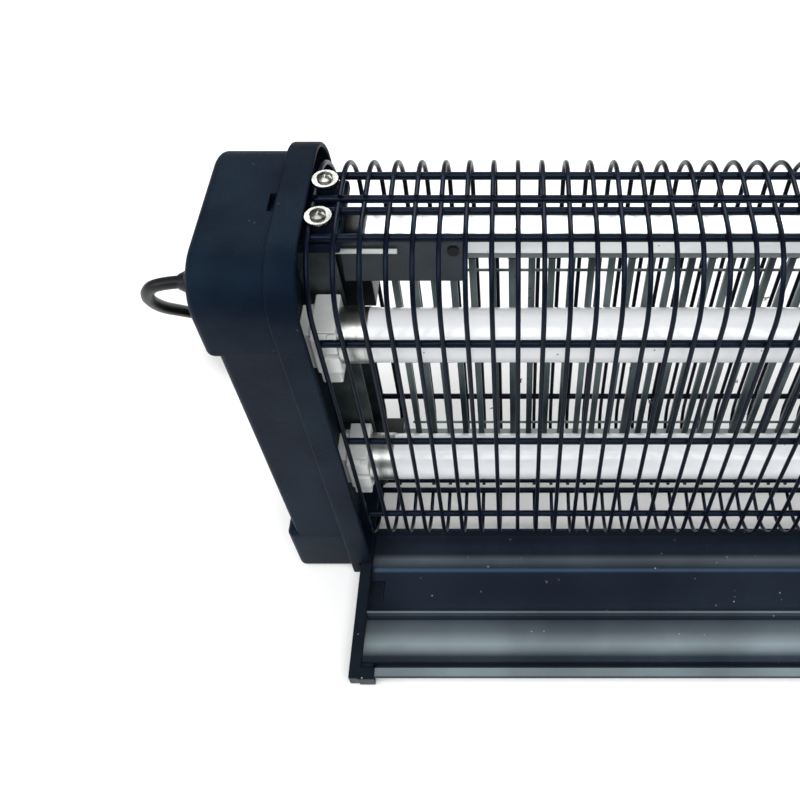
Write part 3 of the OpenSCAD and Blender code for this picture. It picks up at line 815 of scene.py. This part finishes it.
def templateObject(name, verts, faces):
    mesh = bpy.data.meshes.new(name)
    mesh.from_pydata([tuple(v) for v in verts], [], faces)
    mesh.update()
    made = bpy.data.objects.new(name, mesh)
    bpy.context.scene.collection.objects.link(made)
    return made


# Rings of points round the X axis, closed at both ends, for a small body of turned shape
def turnedBody(stations, sides=8):
    verts, faces = [], []
    for x, radius in stations:
        for k in range(sides):
            angle = 2 * math.pi * k / sides
            verts.append((x, radius * math.cos(angle), radius * 0.8 * math.sin(angle)))
    for ring in range(len(stations) - 1):
        for k in range(sides):
            after = (k + 1) % sides
            faces.append((
                ring * sides + k, (ring + 1) * sides + k,
                (ring + 1) * sides + after, ring * sides + after,
            ))
    faces.append(tuple(range(sides)))
    faces.append(tuple(range(len(verts) - 1, len(verts) - sides - 1, -1)))
    return verts, faces


insectSizes = {"length": 2.3, "onRods": 16, "inTray": 18}


def makeInsects():
    unit = insectSizes["length"] * mm
    stations = [
        (-0.5, 0.02), (-0.42, 0.09), (-0.25, 0.14), (-0.05, 0.13), (0.03, 0.08),
        (0.12, 0.13), (0.27, 0.12), (0.33, 0.05), (0.4, 0.09), (0.48, 0.07), (0.5, 0.02),
    ]
    verts, faces = turnedBody([(x * unit, radius * unit) for x, radius in stations])
    bodyTemplate = templateObject("insectBody", verts, faces)
    wingVerts, wingFaces = [], []
    for sign in (-1, 1):
        start = len(wingVerts)
        outline = [(0.1, 0.05), (-0.2, 0.3), (-0.55, 0.42), (-0.7, 0.3), (-0.5, 0.12)]
        for lift in (0.1, 0.13):
            wingVerts += [(x * unit, sign * y * unit, (lift - 0.1 * x) * unit) for x, y in outline]
        count = len(outline)
        wingFaces.append(tuple(start + k for k in range(count)))
        wingFaces.append(tuple(start + count + k for k in reversed(range(count))))
        for k in range(count):
            after = (k + 1) % count
            wingFaces.append((start + k, start + count + k, start + count + after, start + after))
    wingTemplate = templateObject("insectWings", wingVerts, wingFaces)
    rodLow, rodHigh = boxMm("live_rods")
    onRods = []
    for _ in range(insectSizes["onRods"]):
        place = placed(
            rng.uniform(rodLow.x + 20, rodHigh.x - 20), rodLow.y - 0.4,
            rng.uniform(rodLow.z + 15, rodHigh.z - 12),
        )
        onRods.append((place, (1.57, rng.uniform(0, 6.28), rng.uniform(-0.4, 0.4)), rng.uniform(0.8, 1.5)))
    trayLow, trayHigh = boxMm("tray_channel")
    inTray = []
    for _ in range(insectSizes["inTray"]):
        depth = rng.choice((rng.uniform(28, 50), rng.uniform(4, 17)))
        place = placed(rng.uniform(trayLow.x + 25, trayHigh.x - 25), trayHigh.y - depth, trayLow.z + 2.6)
        inTray.append((place, (rng.uniform(-0.5, 0.5), 0.0, rng.uniform(0, 6.28)), rng.uniform(0.35, 0.8)))
    for body, places in (("unit", onRods), ("tray", inTray)):
        scatter(body + "_insects", bodyTemplate, materials["insect"], body, places)
        scatter(body + "_wings", wingTemplate, materials["wing"], body, places)
    for template in (bodyTemplate, wingTemplate):
        bpy.data.objects.remove(template)


# Both ends, then the tray and the pieces that run between the ends; widths of edges are in mm
for side in ("left", "right"):
    makeCover(side)
    softened(side + "_end_frame", "housing", "unit", 1.1, segments=3, shortest=1.8)
    softened(side + "_bracket", "bracketSteel", "unit", 0.35, segments=2)
    softened("tray_" + side + "_cap", "trayCap", "tray", 0.5, segments=2)
    for level in ("upper", "lower"):
        softened(f"{level}_{side}_lampholder", "holder", "unit", 0.8, segments=3)
makeTray()
for rail in ("top_rail", "bottom_rail"):
    softened(rail, "rail", "unit", 0.5, segments=3)
softened("terminal_shield", "shield", "unit", 0.35, segments=2)
for level in ("upper", "lower"):
    softened(level + "_insulators", "blackPlastic", "unit", 0.6, segments=2)
print("covers, tray and softened pieces made")

makeInsects()
print("insects scattered")


floor = bpy.data.objects.new("floor", bpy.data.meshes.new("floor"))
floor.data.from_pydata(
    [(-6, -6, 0), (6, -6, 0), (6, 6, 0), (-6, 6, 0)], [], [(0, 1, 2, 3)]
)
bpy.context.scene.collection.objects.link(floor)
floorMaterial = bpy.data.materials.new("floor")
floorMaterial.use_nodes = True
floorShader = floorMaterial.node_tree.nodes["Principled BSDF"]
floorShader.inputs["Base Color"].default_value = (0.96, 0.96, 0.96, 1.0)
floorShader.inputs["Roughness"].default_value = 0.85
floor.data.materials.append(floorMaterial)
floor.location.z = -0.0005


def softbox(name, place, target, size, power, colour=(1.0, 1.0, 1.0)):
    light = bpy.data.lights.new(name, "AREA")
    light.shape = "RECTANGLE"
    light.size = size[0]
    light.size_y = size[1]
    light.energy = power
    light.color = colour
    made = bpy.data.objects.new(name, light)
    made.location = place
    aim = Vector(target) - Vector(place)
    made.rotation_euler = aim.to_track_quat("-Z", "Y").to_euler()
    bpy.context.scene.collection.objects.link(made)
    return made


lights = [
    softbox("keyBox", (-0.1, -0.75, 1.5), (0, 0, 0.1), (2.0, 1.1), 30.0),
    softbox("leftBox", (-1.7, -0.6, 0.9), (-0.2, 0, 0.1), (0.8, 1.0), 8.0, (0.95, 0.98, 1.0)),
    softbox("rightBox", (1.6, -0.2, 0.9), (0, 0, 0.15), (0.8, 1.0), 6.0),
    softbox("backBox", (0.25, 1.1, 1.35), (0, 0, 0.1), (2.4, 0.34), 22.0),
]
world = bpy.data.worlds.new("studio")
world.use_nodes = True
world.node_tree.nodes["Background"].inputs["Color"].default_value = (1.0, 1.0, 1.0, 1.0)
world.node_tree.nodes["Background"].inputs["Strength"].default_value = 0.22
bpy.context.scene.world = world
bpy.context.scene.view_settings.view_transform = "Standard"
